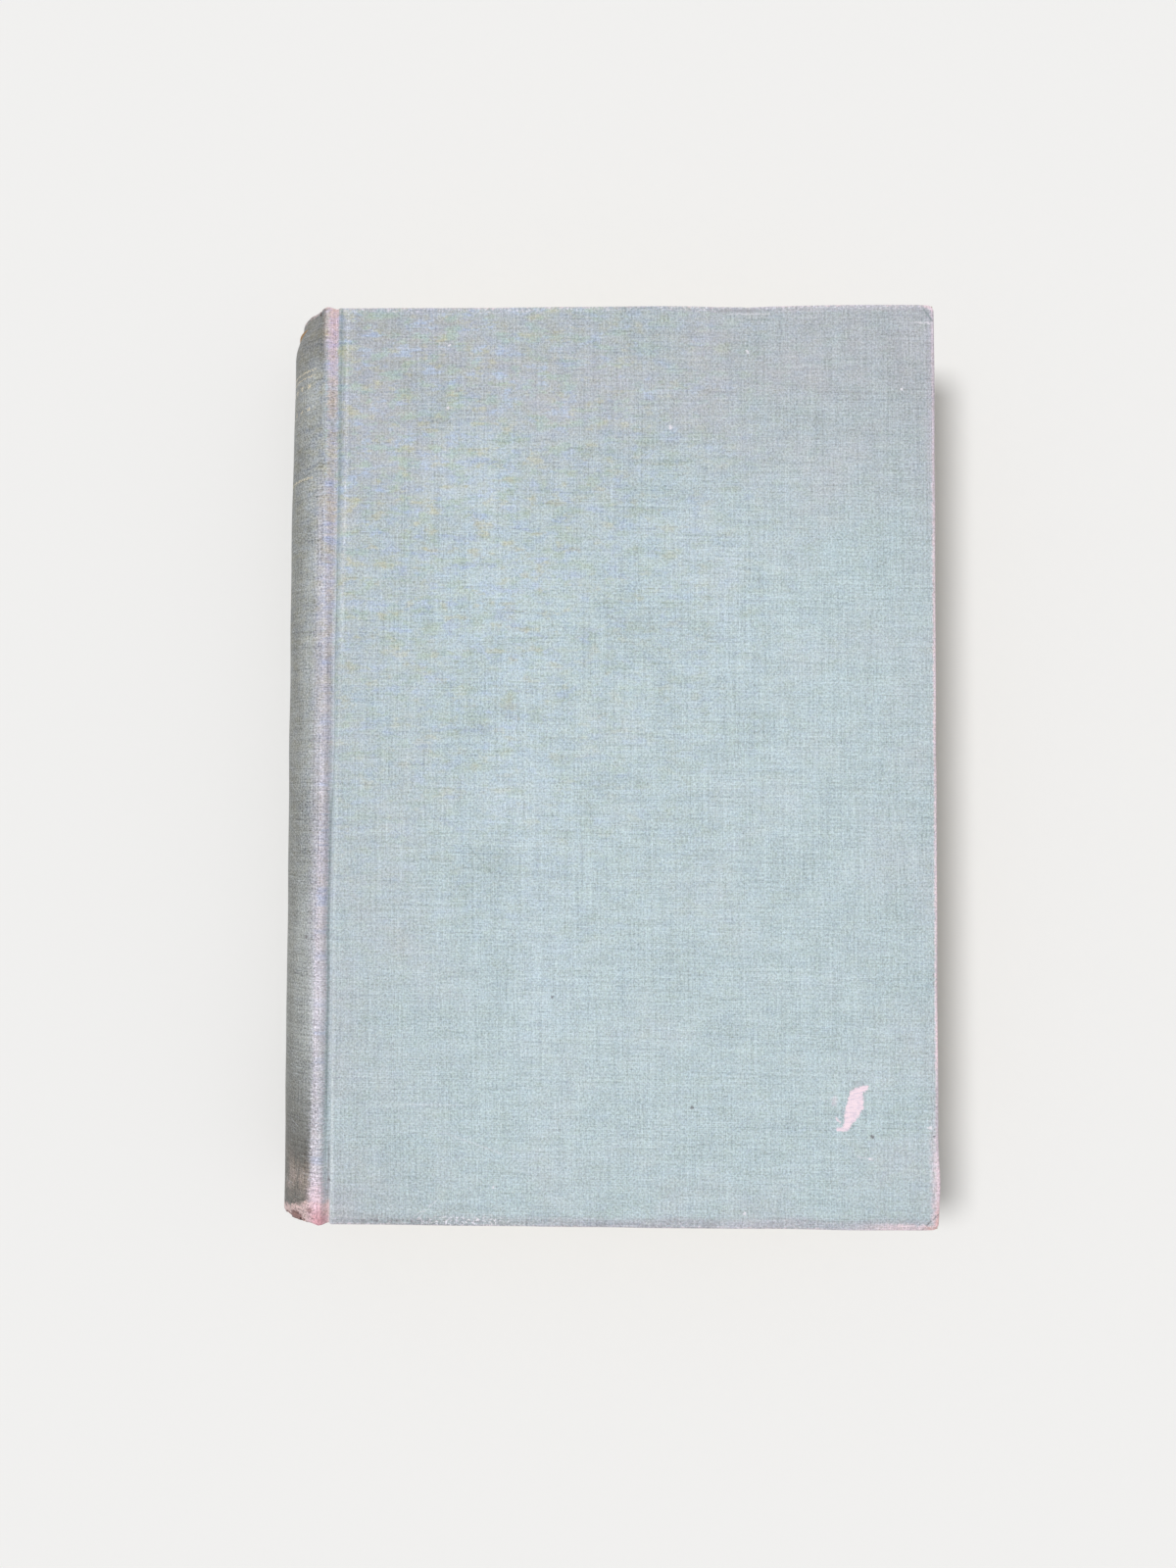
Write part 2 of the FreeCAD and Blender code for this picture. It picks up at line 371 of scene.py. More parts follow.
def knocked(x, y, z):
    # Moves a point of the case by its dents and waviness
    side = 1 if z > book["middle"] else -1
    drift = noise.noise_vector(Vector((x, y, z)) / dents["wave"]) * dents["waviness"]
    x, y, z = x + drift.x, y + drift.y, z + drift.z * 0.5
    headShare = ease((y - book["head"] + dents["headReach"]) / dents["headReach"])
    if side > 0:
        knock = bell(x, dents["headAt"], dents["headHalf"]) * headShare
        knock *= 0.75 + 0.35 * noise.noise(Vector((x * 0.35, 3.0, 0.0)))
        y -= dents["headDeep"] * knock
        z -= dents["headDeep"] * 0.7 * knock
    proud = ease((x - book["fore"] + 6) / 6) * bell(y, dents["foreAt"], dents["foreHalf"])
    x += dents["foreProud"] * proud
    for corner in (1, -1):
        away = math.hypot(book["fore"] - x, book["head"] - corner * y)
        press = ease(1 - away / dents["cornerReach"])
        z -= side * dents["cornerDrop"] * press * (1.0 if corner < 0 else 0.6)
    roundSpine = ease((book["ridgeSide"] - x) / 6)
    lean = dents["spineLean"] * ease((y - 60) / 40) + dents["capLean"] * ease((y - 104) / 8)
    atEnd = ease((abs(y) - book["head"] + 3) / 3)
    ragged = noise.noise(Vector((x * 0.45, y * 0.1, z * 0.45))) * dents["capRagged"]
    tip = dents["ridgeTip"] * bell(x, book["ridgeSide"] + 0.6, 1.7)
    x += lean * roundSpine
    y += math.copysign(atEnd * (ragged * roundSpine + tip), y)
    return x, y, z


# The covering cloth, turned in at its edges: the front sheet goes round the spine to beside the back ridge
cloth = {
    "edgeRound": 0.6,
    "cornerRound": 1.6,
    "grooveDeep": 1.15,
    "grooveAt": 2.35,  # from the ridge, at the tail
    "grooveLoss": 0.55,  # share of its depth that is pressed flat at the head
    "crest": 0.08,
    "capThick": 1.3,  # cloth, inlay and turned-in cloth at the ends of the spine
    "foldThick": 0.75,
    "step": 1.45,
    "turnInX": 15.0,
    "spineWave": 0.16,
    "seam": 1.6,  # from the back ridge to where the two sheets meet
    "bend": 0.65,  # half the width of the stretch at either side of the ridge
}
cloth["wallSide"] = book["boardSide"] - book["clothThick"]


def clothSection(y, startAngle):
    # Outer and inner points of the section at y, from an angle on the spine to the fore edge, for the front
    headShare = ease((y + 30) / 130)
    deep = cloth["grooveDeep"] * (1 - cloth["grooveLoss"] * headShare)
    bottomX = book["ridgeSide"] + cloth["grooveAt"] + 0.15 * headShare
    bottomZ = book["top"] - 0.1 - deep
    crestX = book["ridgeSide"] + 0.45
    crestZ = book["ridgeTop"] + cloth["crest"]
    radius, axis, middle = book["spineRadius"], book["spineAxis"], book["middle"]
    section = []
    steps = math.ceil((book["ridgeAngle"] - startAngle) / math.radians(2))
    inner = radius - cloth["capThick"]
    for angle in np.linspace(startAngle, book["ridgeAngle"], steps + 1):
        across, up = -math.cos(angle), math.sin(angle)
        outside = (axis + radius * across, middle + radius * up)
        section.append((*outside, axis + inner * across, middle + inner * up))
    leftOver = section[-1]
    for share in (0.5, 1.0):
        x = leftOver[0] + (crestX - leftOver[0]) * share
        z = leftOver[1] + (crestZ - leftOver[1]) * math.sin(share * math.pi / 2)
        lean = (1 - share) * 0.35
        section.append((x, z, x + lean, z - cloth["capThick"] * (1 - 0.25 * share)))
    ridgeThick = cloth["capThick"] * 0.75
    for share in np.linspace(0, 1, 8)[1:]:
        x = crestX + (bottomX - crestX) * share
        z = crestZ + (bottomZ - crestZ) * ease(share)
        section.append((x, z, x, z - ridgeThick + share * (ridgeThick - cloth["foldThick"])))
    edge = cloth["edgeRound"]
    wallX, wallZ = cloth["wallSide"], book["top"] - edge
    lowZ = book["under"] + edge
    for angle in np.linspace(0, math.pi / 2, 6)[1:]:
        x = bottomX + (wallX - bottomX) * math.sin(angle)
        z = bottomZ + (wallZ - bottomZ) * (1 - math.cos(angle))
        under = ease(angle / (math.pi / 2))
        low = bottomZ - cloth["foldThick"]
        section.append((x, z, x, low + (lowZ - low) * under))
    centre = wallX + edge
    for angle in np.linspace(0, math.pi / 2, 6)[1:]:
        x = centre - edge * math.cos(angle)
        section.append((x, wallZ + edge * math.sin(angle), x, lowZ - edge * math.sin(angle)))
    fine = (0, 0.34, 0.67, 1.0, 1.5, 2.1, 2.8, 3.7, 4.8)
    for x in spaced(centre, book["fore"] - edge, cloth["step"], fine)[1:]:
        section.append((x, book["top"], x, book["under"]))
    return section


def roundedCorner(x, y, cornerX, cornerY, radius):
    # Bends the square corner of a grid into a quarter circle
    along, beside = (x - cornerX) / radius, (y - cornerY) / radius
    if along <= 0 or beside <= 0:
        return x, y
    return (
        cornerX + radius * along * math.sqrt(1 - beside * beside / 2),
        cornerY + radius * beside * math.sqrt(1 - along * along / 2),
    )


def clothSheet(side):
    # Points, flat places on the cut cloth and faces of one sheet; side is 1 in front, -1 behind
    edge, turned = cloth["edgeRound"], cloth["cornerRound"] - cloth["edgeRound"]
    fine = (0, 0.34, 0.67, 1.0, 1.4, 1.8, 2.3, 2.9, 3.6, 4.4, 5.3, 6.4)
    rows = spaced(edge - book["head"], book["head"] - edge, cloth["step"], fine)
    cornerX, cornerY = book["fore"] - edge - turned, book["head"] - edge - turned
    startAngle = -side * (book["ridgeAngle"] - cloth["seam"] / book["spineRadius"])
    points, inners, flats = [], [], []
    for y in rows:
        section = clothSection(y, startAngle)
        length = startAngle * book["spineRadius"]
        last = section[0]
        for outX, outZ, inX, inZ in section:
            length += math.hypot(outX - last[0], outZ - last[1])
            last = (outX, outZ)
            x, bent = roundedCorner(outX, abs(y), cornerX, cornerY, turned)
            bent = math.copysign(bent, y)
            points.append((x, bent, outZ))
            inners.append((inX + x - outX, bent, inZ))
            flats.append((length * side, bent, 0))
    wide, high = len(section), len(rows)
    faces = gridFaces(wide, high)
    loop = [(high - 1) * wide + column for column in range(wide)]
    loop += [row * wide + wide - 1 for row in range(high - 2, -1, -1)]
    loop += [column for column in range(wide - 2, -1, -1)]
    border = []
    for index in loop:
        x, y, z = points[index]
        outX = max(x - cornerX, 0)
        outY = max(abs(y) - cornerY, 0)
        away = math.hypot(outX, outY)
        if index % wide < wide - 1 and outX == 0:
            outX, outY, away = 0, 1, 1
        elif outY == 0:
            outX, outY, away = 1, 0, 1
        border.append(Vector((outX / away, math.copysign(outY / away, y), 0)))
    previous = loop
    windowX, windowY = book["fore"] - cloth["turnInX"], book["turnInEdge"]
    for step in range(12):
        current = []
        for index, out in zip(loop, border):
            outer, inner = Vector(points[index]), Vector(inners[index])
            thick = (inner - outer).length
            down = (inner - outer) / thick
            bend = min(edge, thick / 2)
            windowEdge = math.copysign(min(abs(inner.y), windowY), inner.y)
            window = Vector((min(inner.x, windowX), windowEdge, inner.z))
            if step < 4:
                turn = math.radians(22.5 * (step + 1))
                spot = outer + out * bend * math.sin(turn) + down * bend * (1 - math.cos(turn))
                run = bend * turn
            elif step < 9:
                turn = math.radians(22.5 * (step - 4))
                spot = inner + out * bend * math.cos(turn) - down * bend * (1 - math.sin(turn))
                run = bend * (math.pi / 2 + turn) + thick - 2 * bend
            else:
                share = (0.12, 0.45, 1.0)[step - 9]
                spot = inner.lerp(window, share)
                run = math.pi * bend + thick - 2 * bend + (window - inner).length * share
            current.append(len(points))
            points.append(tuple(spot))
            flat = flats[index]
            flats.append((flat[0] + side * out.x * run, flat[1] + out.y * run, step + 1))
        for one in range(len(loop) - 1):
            faces.append((previous[one], previous[one + 1], current[one + 1], current[one]))
        previous = current
    return points, flats, faces


# Tears at the two caps, as angles round the spine from its middle and places along it
tears = {
    "tail": ((35, -112.3, 7.5, 0.9), (57, -112.4, 4.0, 0.7)),
    "head": ((61, 112.4, 3.5, 1.5), (20, 112.5, 4.0, 0.7)),
    "ragged": 0.55,
}


def isTorn(place, flat):
    # True where the cap's cloth has worn through
    if abs(place[1]) < 105 or flat[2] > 4 or place[2] < book["middle"]:
        return False
    angle = math.degrees(math.atan2(place[2] - book["middle"], book["spineAxis"] - place[0]))
    for centre, along, wide, high in tears["tail"] + tears["head"]:
        away = math.hypot((angle - centre) / wide, (flat[1] - along) / high)
        rough = noise.noise(Vector((angle * 0.5, flat[1] * 1.3, 7.0))) * tears["ragged"]
        if away + rough < 1:
            return True
    return False


def addCloth(name, side, replaced, finish):
    points, flats, faces = clothSheet(side)
    kept = []
    for face in faces:
        centre = [sum(points[index][axis] for index in face) / 4 for axis in range(3)]
        flat = [sum(flats[index][axis] for index in face) / 4 for axis in range(3)]
        if side < 0 or not isTorn(centre, flat):
            kept.append(face)
    places, kept = mirrored(points, kept, side)
    moved = []
    for x, y, z in places:
        spine = ease((book["ridgeSide"] - x) / 3)
        swell = spine * cloth["spineWave"] * noise.noise(Vector((x * 0.05, y * 0.035, z * 0.09 + 5.0)))
        moved.append(knocked(x - swell, y, z))
    piece = addPiece(name, moved, kept, finish, {"rest": places, "flat": flats})
    bpy.context.view_layer.objects.active = piece
    tidy = piece.modifiers.new("join", "WELD")
    tidy.merge_threshold = 0.002 * mm
    thicken(piece, book["clothThick"])
    start = ((book["ridgeSide"] + cloth["bend"]) * mm, 0, 0)
    end = ((book["ridgeSide"] - cloth["bend"]) * mm, 0, 0)
    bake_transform(piece)
    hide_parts(*replaced)
    return piece


# The stiff strip inside the spine, pressed in at the head with the cloth
strip = {
    "rows": 60,
    "steps": 48,
    "clear": 0.05,  # between the strip and the cloth, and short of the ridges
    "thick": 0.5,
}


def addStrip(finish):
    outer = book["spineAxis"] - inlayLow[0] - strip["clear"]
    points = []
    for y in np.linspace(inlayLow[1] + strip["clear"], inlayHigh[1] - strip["clear"], strip["rows"]):
        for step in np.linspace(-1, 1, strip["steps"] + 1):
            angle = step * (book["ridgeAngle"] - strip["clear"])
            x = book["spineAxis"] - outer * math.cos(angle)
            points.append(knocked(x, y, book["middle"] + outer * math.sin(angle)))
    faces = gridFaces(strip["steps"] + 1, strip["rows"])
    piece = addPiece("spine_strip", points, faces, finish)
    thicken(piece, strip["thick"])
    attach(piece, "text_block")
    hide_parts("spine_inlay")
    return piece


# Boards of grey millboard, dented with the cloth that covers them
board = {
    "step": 4.0,
    "fine": (0, 0.3, 1.2, 2.6, 4.5),  # from the edges
}


def addBoard(name, side, cover, node, finish):
    columns = spaced(boardLow[0], boardHigh[0], board["step"], board["fine"])
    rows = spaced(boardLow[1], boardHigh[1], board["step"], board["fine"])
    points = [(x, y, z) for z in (boardHigh[2], boardLow[2]) for y in rows for x in columns]
    points, faces = mirrored(points, slabFaces(len(columns), len(rows)), side)
    points = [knocked(*point) for point in points]
    piece = addPiece(name, points, faces, finish, smooth=False)
    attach(piece, cover)
    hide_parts(node)
    return piece


# The leaves: sections of folded sheets, fanned at the rounded back
leaves = {
    "count": 168,
    "perSection": 8,
    "gap": 0.12,  # share of a leaf's pitch that is air
    "uneven": 0.20,
    "foreDeep": 7.5,  # how hollow the fore edge is
    "ripple": 0.05,
    "seed": 11,
}


def addLeaves(finish):
    draw = random.Random(leaves["seed"])
    middle = book["middle"]
    rootX = leafLow[0]
    half = leafLow[2] - middle
    full = blockHigh[2] - middle
    radius = book["spineAxis"] - blockLow[0]
    shoulderX = book["spineAxis"] - math.sqrt(radius**2 - full**2)
    foreDeep, ripple = leaves["foreDeep"], leaves["ripple"]
    foreArc = (half**2 + foreDeep**2) / (2 * foreDeep)
    thin = (1 - leaves["gap"]) / leaves["count"]
    points, faces, shades = [], [], []
    for leaf in range(leaves["count"]):
        # a random tone for each leaf, and painted shade on the first leaf of each section, where the
        # sections part
        shade = draw.uniform(0.86, 1.04) * (0.93 if leaf % leaves["perSection"] == 0 else 1.0)
        inSection = (leaf % leaves["perSection"]) / leaves["perSection"] - 0.5
        place = (leaf + 0.5 - 0.12 * inSection) / leaves["count"] * 2 - 1
        startX = book["spineAxis"] - math.sqrt(max(radius**2 - (place * full) ** 2, 0)) + 0.05
        fore = blockHigh[0] - foreDeep + foreArc - math.sqrt(foreArc**2 - (place * half) ** 2)
        fore -= abs(draw.gauss(0, leaves["uneven"]))
        head = blockHigh[1] - abs(draw.gauss(0, leaves["uneven"] * 0.6))
        tail = blockLow[1] + abs(draw.gauss(0, leaves["uneven"] * 0.6))
        wander = draw.uniform(0, 50)
        columns = [startX + (rootX - startX) * share for share in (0, 0.2, 0.4, 0.6, 0.8, 1)]
        columns += [rootX + (fore - rootX) * share for share in (0.02, 0.06, 0.2, 0.4, 0.6, 0.8, 0.93, 1)]
        rows = [tail + (head - tail) * share for share in np.linspace(0, 1, 13)]
        first = len(points)
        for face in (1, -1):
            for y in rows:
                for x in columns:
                    tall = half + (full - half) * ease((rootX - x) / (rootX - shoulderX))
                    level = (place + face * thin) * tall
                    bent = ripple * noise.noise(Vector((x * 0.05, y * 0.05, wander))) * (x - startX) / 60
                    edge = x + (0.18 * noise.noise(Vector((0, y * 0.06, wander))) if x == fore else 0)
                    points.append((edge, y, middle + level + min(max(bent, -ripple), ripple)))
                    shades.append((shade, shade, shade))
        faces += slabFaces(len(columns), len(rows), first)
    piece = addPiece("leaves", points, faces, finish, {"shade": shades}, smooth=False)
    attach(piece, "text_block")
    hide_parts("page_block")
    return piece


# Headband and tailband: a rolled bead on a strip of cloth, following the rounded back
band = {
    "bead": 0.95,  # its radius
    "inset": 1.0,  # of its middle from the band's edges
    "wobble": 0.05,
    "turns": 72,
    "sides": 12,
    "half": 56.0,  # degrees to either side of mid-spine
}


def addBand(name, end, node, finish):
    radius = book["spineAxis"] - bandLow[0] - band["inset"]
    points, places, faces = [], [], []
    steps, sides = band["turns"], band["sides"]
    arc = math.radians(2 * band["half"]) * radius
    for step in range(steps + 1):
        angle = math.radians(-band["half"] + 2 * band["half"] * step / steps)
        wobble = band["wobble"] * noise.noise(Vector((step * 0.4, end, 0)))
        for side in range(sides):
            turn = 2 * math.pi * side / sides
            thick = band["bead"] * (0.95 if step in (0, steps) else 1.0) + wobble
            reach = radius + thick * math.cos(turn)
            x = book["spineAxis"] - reach * math.cos(angle)
            z = book["middle"] + reach * math.sin(angle)
            y = end * (bandLow[1] + band["inset"] + thick * math.sin(turn))
            points.append(knocked(x, y, z))
            places.append((arc * step / steps, turn, 0))
    for step in range(steps):
        for side in range(sides):
            other = (side + 1) % sides
            one, two = step * sides, (step + 1) * sides
            faces.append((one + side, one + other, two + other, two + side))
    faces.append(tuple(reversed(range(sides))))
    faces.append(tuple(steps * sides + side for side in range(sides)))
    if end < 0:
        faces = [tuple(reversed(face)) for face in faces]
    piece = addPiece(name, points, faces, finish, {"flat": places})
    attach(piece, "text_block")
    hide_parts(node)
    return piece


# The fold of each endpaper, from the board's inside over its spine edge and down the block's shoulder
fold = {
    "thick": 0.1,
    "step": 0.3,
    "rows": 50,
    "facing": (0.597, 0.802),  # square to the shoulder's plane
    "carried": (-14.68, -15.1),  # along that, one distance for each side of the fold
}


def addEndpaperFold(name, side, finish):
    corners = [
        (pasteLow[0] + 0.9, pasteLow[2] - 0.07),
        (pasteLow[0] - 0.1, pasteLow[2] - 0.04),
        (cloth["wallSide"] + 0.1, pasteLow[2] + 0.12),
        (cloth["wallSide"] - 0.14, pasteLow[2] + 0.5),
        (cloth["wallSide"] - 0.30, book["top"] - 2.1),
        (book["ridgeSide"] + 1.3, book["top"] - 2.1),
        (book["ridgeSide"] + 0.65, book["top"] - 1.8),
        (book["ridgeSide"] + 0.57, blockHigh[2] + 0.02),
        (leafLow[0] - 0.05, leafLow[2] - 0.02),
    ]
    path = []
    for one, two in zip(corners, corners[1:]):
        count = max(2, round(math.dist(one, two) / fold["step"]))
        path += [tuple(spot) for spot in np.linspace(one, two, count, endpoint=False)]
    path.append(corners[-1])
    rows = np.linspace(-leafHigh[1], leafHigh[1], fold["rows"])
    points = [(x, y, z) for y in rows for x, z in path]
    points, faces = mirrored(points, gridFaces(len(path), len(rows)), side)
    piece = addPiece(name, points, faces, finish, {"rest": points})
    thicken(piece, fold["thick"], offset=0)
    start, end = ([value * away * mm for value in fold["facing"]] for away in fold["carried"])
    if side < 0:
        lift = 2 * book["middle"] * mm
        start[1], end[1] = lift - start[1], lift - end[1]
    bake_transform(piece)
    return piece


# Colours read off the book, as a screen shows them
shown = {
    "faded": (187, 203, 208),
    # greyed is faded dye, and also painted falloff of light towards the cover's corners
    "greyed": (178, 182, 188),
    "greened": (176, 192, 186),
    "yellowed": (192, 192, 172),
    "blued": (180, 194, 216),
    "bright": (194, 209, 218),
    # pale threads and scuffs, and also a painted highlight on the board's edge
    "paleAndHighlight": (212, 220, 224),
    "lilac": (188, 184, 196),
    # grey dirt and stains, and also painted shade at the tail edge and in the head's dent
    "greyDirtAndShade": (146, 144, 150),
    "soil": (108, 102, 106),
    # the spine's greys hold grime with painted shade, and a painted highlight beside the ridges
    "spineBack": (130, 132, 129),
    "spineSide": (157, 161, 161),
    "spineHighlight": (184, 185, 192),
    "spineTail": (96, 95, 91),
    "spineHead": (120, 120, 117),
    "warmSmear": (150, 138, 130),
    "inside": (118, 84, 78),
    "ridge": (208, 201, 210),
    "ridgeBlue": (182, 188, 214),
    "ridgeSand": (204, 188, 172),
    "ridgePink": (226, 198, 210),
    # dark marks and scratches, and painted shade in the groove and along a corner crease
    "darkMarkAndShade": (128, 142, 144),
    "bare": (238, 214, 222),
    "threads": (232, 229, 237),
    "rim": (208, 182, 180),
    "rimDark": (140, 112, 108),
    "rose": (202, 142, 152),
    "salmon": (220, 164, 154),
    "gilt": (214, 203, 178),
    "scar": (250, 228, 237),
    "scarDull": (228, 212, 226),
    "foxed": (176, 138, 98),
    "pulpDark": (150, 128, 104),
    "pulpLight": (196, 176, 150),
    "pulpFleck": (98, 74, 60),
    "bandCream": (214, 202, 176),
    "bandRose": (164, 96, 92),
    "bandDirt": (120, 104, 88),
}
colours = {name: linear(*value) for name, value in shown.items()}

# Where the cloth is marked; places are pixels of the photograph, widths are millimetres
clothMarks = {
    "pitch": 0.45,  # from thread to thread
    "scar": (  # from, to and the half widths there
        ((877, 1113), (884, 1110), 0.8, 0.55),
        ((875, 1115), (873, 1128), 1.3, 1.9),
        ((871, 1115), (867, 1132), 0.7, 1.1),
        ((877, 1117), (877, 1129), 1.0, 1.0),
        ((873, 1128), (868, 1139), 1.9, 1.6),
        ((868, 1139), (863, 1151), 1.3, 0.7),
        ((861, 1153), (855, 1152), 0.35, 0.45),
        ((853, 1141), (857, 1145), 0.14, 0.2),
    ),
    "scarFaint": ((852, 1121), (851, 1126), 0.5, 0.5),
    "scarBruise": ((877, 1112), (865, 1146), 2.1, 1.4),
    "darkSpecks": (  # place and size
        ((890, 1160), 0.55), ((706, 1130), 0.4), ((335, 1205), 0.3),
        ((311, 957), 0.35), ((953, 1160), 0.3), ((564, 1017), 0.3),
    ),
    "paleSpecks": (
        ((684, 436), 0.55), ((763, 359), 0.35), ((920, 397), 0.4), ((760, 1238), 0.35), ((949, 1151), 0.6),
        ((503, 1212), 0.3), ((888, 1183), 0.4), ((457, 416), 0.4), ((459, 352), 0.35),
    ),
    "darkScratches": (((475, 860), (502, 892), 0.10), ((762, 326), (785, 326), 0.2)),
    "paleScratches": (  # from, to and half width
        ((445, 1225), (434, 1235), 0.09),
        ((434, 1235), (422, 1241), 0.09),
        ((430, 1240), (425, 1245), 0.09),
        ((876, 1181), (891, 1183), 0.12),
        ((745, 319.5), (786, 319.5), 0.16),
        ((935, 329), (952, 329), 0.14),
        ((450, 1155), (512, 1177), 0.07),
        ((930, 329), (953, 329), 0.12),
        ((403, 355), (520, 356), 0.05),
        ((389, 412), (441, 412), 0.05),
        ((410, 1127), (475, 1128), 0.05),
    ),
    # a crease across the corner, drawn as painted shade
    "cornerCrease": ((943, 315), (951, 327), 0.22, 0.22),
    "bleached": (((492, 470), (556, 1010), 9.0, 0.45), ((700, 520), (720, 700), 12.0, 0.25)),
    "tinted": (  # colour, which noise, how much of it shows, least and full strength
        ("greened", 12, 0.50, 0.30, 0.65),
        ("blued", 21, 0.53, 0.12, 0.7),
        ("yellowed", 47, 0.55, 0.0, 0.7),
    ),
    "rules": (97.8, 96.4, 70.6),  # gilt lines across the spine, by their height
    "dots": ((94.0, 0.55), (88.2, 0.4)),  # rows of gilt dots and their half height
}


class ClothFinish(Finish):
    # Dyed cloth laid out flat: across goes round from mid-spine, fromTail and fromHead to the edges
    def __init__(self, name, side):
        super().__init__(name, 0.78, specular=0.22, sheen=0.12)
        self.side = side
        self.rest = self.attribute("rest")
        self.flat = self.attribute("flat")
        self.x, self.y, _ = self.split(self.rest)
        run, along, layer = self.split(self.flat)
        self.across = abs(run)
        self.outside = layer.rise(5.5, 4.0)
        self.ridge = book["spineRadius"] * book["ridgeAngle"]
        self.onBoard = self.across.rise(self.ridge + 3.2, self.ridge + 4.6)
        self.picks = self.grain(self.rest, (0.9, 0.9, 0.9), 4, 0.75, (1, 2, 3 + side))
        self.spread = self.grain(self.rest, (0.07, 0.07, 0.07), 3, 0.6, (31, 2, side))
        self.jag = (self.picks - 0.5) * 2.6
        edge = book["head"] - cloth["edgeRound"]
        self.fromTail = along + edge
        self.fromHead = edge - along
        self.tint = colours["faded"]

    def lay(self, colour, mask):
        # Lays a colour over the cloth as far as the mask is 1
        self.tint = self.mix(mask, self.tint, colour)

    def fade(self):
        # Greyer and darker to the corners and the head, faded dye with painted falloff of light, with
        # green, blue and yellow in places
        centreX = abs(self.x - 14).rise(36, 86)
        centreY = abs(self.y + 24).rise(60, 128)
        self.mottle = self.grain(self.rest, (0.05, 0.05, 0), 4, 0.6, (3, 8 * self.side, 0))
        toEdge = centreY + centreX * 0.55 + (self.mottle - 0.5) * 1.6
        # faded dye, and painted falloff of light from the middle of the cover towards its edges
        self.lay("greyed", toEdge * 0.8)
        if self.side > 0:
            cloudy = (self.mottle - 0.5) * 24.0
            place = self.join(self.x + cloudy, self.y + cloudy, 0)
            for start, end, wide, share in clothMarks["bleached"]:
                self.lay("bright", self.stroke(place, start, end, wide, wide, 9.0) * share)
        self.upper = self.y.rise(-70, 70) * self.x.rise(70, -40)
        for colour, shift, start, least, share in clothMarks["tinted"]:
            patch = self.grain(self.rest, (0.15, 0.32, 0), 4, 0.65, (shift, self.side, 0))
            self.lay(colour, patch.rise(start, start + 0.16) * (self.upper + least) * share)

    def greySpine(self):
        # The back of the spine: grimy with painted shade, darker about mid-spine, darkest at head and tail,
        # with a painted highlight beside the ridges
        across, y, ridge = self.across, self.y, self.ridge
        grime = self.grain(self.rest, (0.16, 0.05, 0.16), 4, 0.7, (7, 3, 0))
        jitter = (self.grain(self.flat, (0.5, 1.9, 0), 3, 0.7) - 0.5) * 3.6
        cloudy = (grime - 0.5) * 7.0
        # grime and painted shade: darker about mid-spine, lighter towards the ridges
        back = self.mix((across + cloudy).rise(10.5, 19.5), "spineBack", "spineSide")
        back = self.mix((y + cloudy).rise(-66, -99) * (0.6 + grime * 0.8), back, "spineTail")
        back = self.mix(y.rise(90, 108), back, "spineHead")
        back = self.mix(y.near(-102, 4.0, 4.0) * grime.rise(0.42, 0.60) * 0.7, back, "warmSmear")
        jittered = across + jitter
        # a painted highlight on the spine beside the ridges
        gentle = jittered.rise(ridge - 4.2, ridge) * y.rise(76, 60) * 0.35
        steep = jittered.rise(ridge - 3.1, ridge - 1.1) * y.rise(10, -40)
        back = self.mix(gentle | steep, back, "spineHighlight")
        self.onSpine = (across + jitter * 0.5).rise(ridge + 0.6, ridge - 0.8)
        self.lay(back, self.onSpine)

    def wearJoint(self):
        # The ridge rubbed to lilac, dirt and painted shade in the groove, a painted highlight on the
        # board's edge, all slanting
        across, y, outside, ridge = self.across, self.y, self.outside, self.ridge
        fray = (self.grain(self.flat, (0.3, 2.2, 0), 4, 0.75, (2, 60, 0)) - 0.5) * 4.2
        hatch = self.grain(self.flat, (0.9, 3.4, 0), 3, 0.8, (14, 70, 0))
        hue = self.grain(self.rest, (0, 0.14, 0), 5, 0.7, (0, 5, 0))
        onRidge = across - (ridge + 0.75) - y * 0.0115
        tail = y.rise(0, -60)
        middle = y.near(-32, 22, 20)
        ends = y.rise(78, 108) | y.rise(-94, -110)
        halo = (abs(onRidge + 0.6) + fray).rise(4.4, 1.4)
        self.lay("lilac", halo * y.rise(-80, -20) * y.rise(76, 62) * outside * 0.4)
        colour = self.mix(hue.rise(0.5, 0.62), "ridge", "ridgeBlue")
        colour = self.mix(y.near(66, 30, 16) * hue.rise(0.5, 0.42), colour, "ridgeSand")
        colour = self.mix(ends * 0.65, colour, "ridgePink")
        away = abs(onRidge) + fray - tail * 0.45
        self.lay(colour, away.rise(1.5, 0.8) * (0.5 + ends * 0.25 + middle * 0.25) * outside)
        self.lay("soil", away.rise(1.9, 0.4) * hatch.rise(0.50, 0.34) * outside * (0.55 - middle * 0.25))
        self.lay("threads", away.rise(2.2, 0.6) * hatch.rise(0.58, 0.70) * outside * 0.6)
        inGroove = across - y * 0.006 - y.rise(-18, 8) * 1.1
        lineTailChange = tail * (y.rise(-92, -80) * 0.5 - 0.38)
        # painted shade and dirt in the groove: a thin dark line at its bottom
        self.lay("darkMarkAndShade", inGroove.near(ridge + 2.5, 0.1, 0.5) * outside * (0.45 + lineTailChange))
        # and a wider band of painted shade beside the groove
        self.lay("darkMarkAndShade", across.near(ridge + 4.0, 0.9, 0.7) * y.rise(-20, 20) * outside * 0.25)
        onLine = across - y * 0.008
        # a painted highlight along the board's rounded edge
        self.lay("paleAndHighlight", onLine.near(ridge + 5.2, 0.5, 0.5) * y.rise(-60, -92) * outside * 0.35)
        self.lay("soil", inGroove.near(ridge + 3.3, 0.1, 0.3) * y.rise(-88, -96) * outside * 0.55)
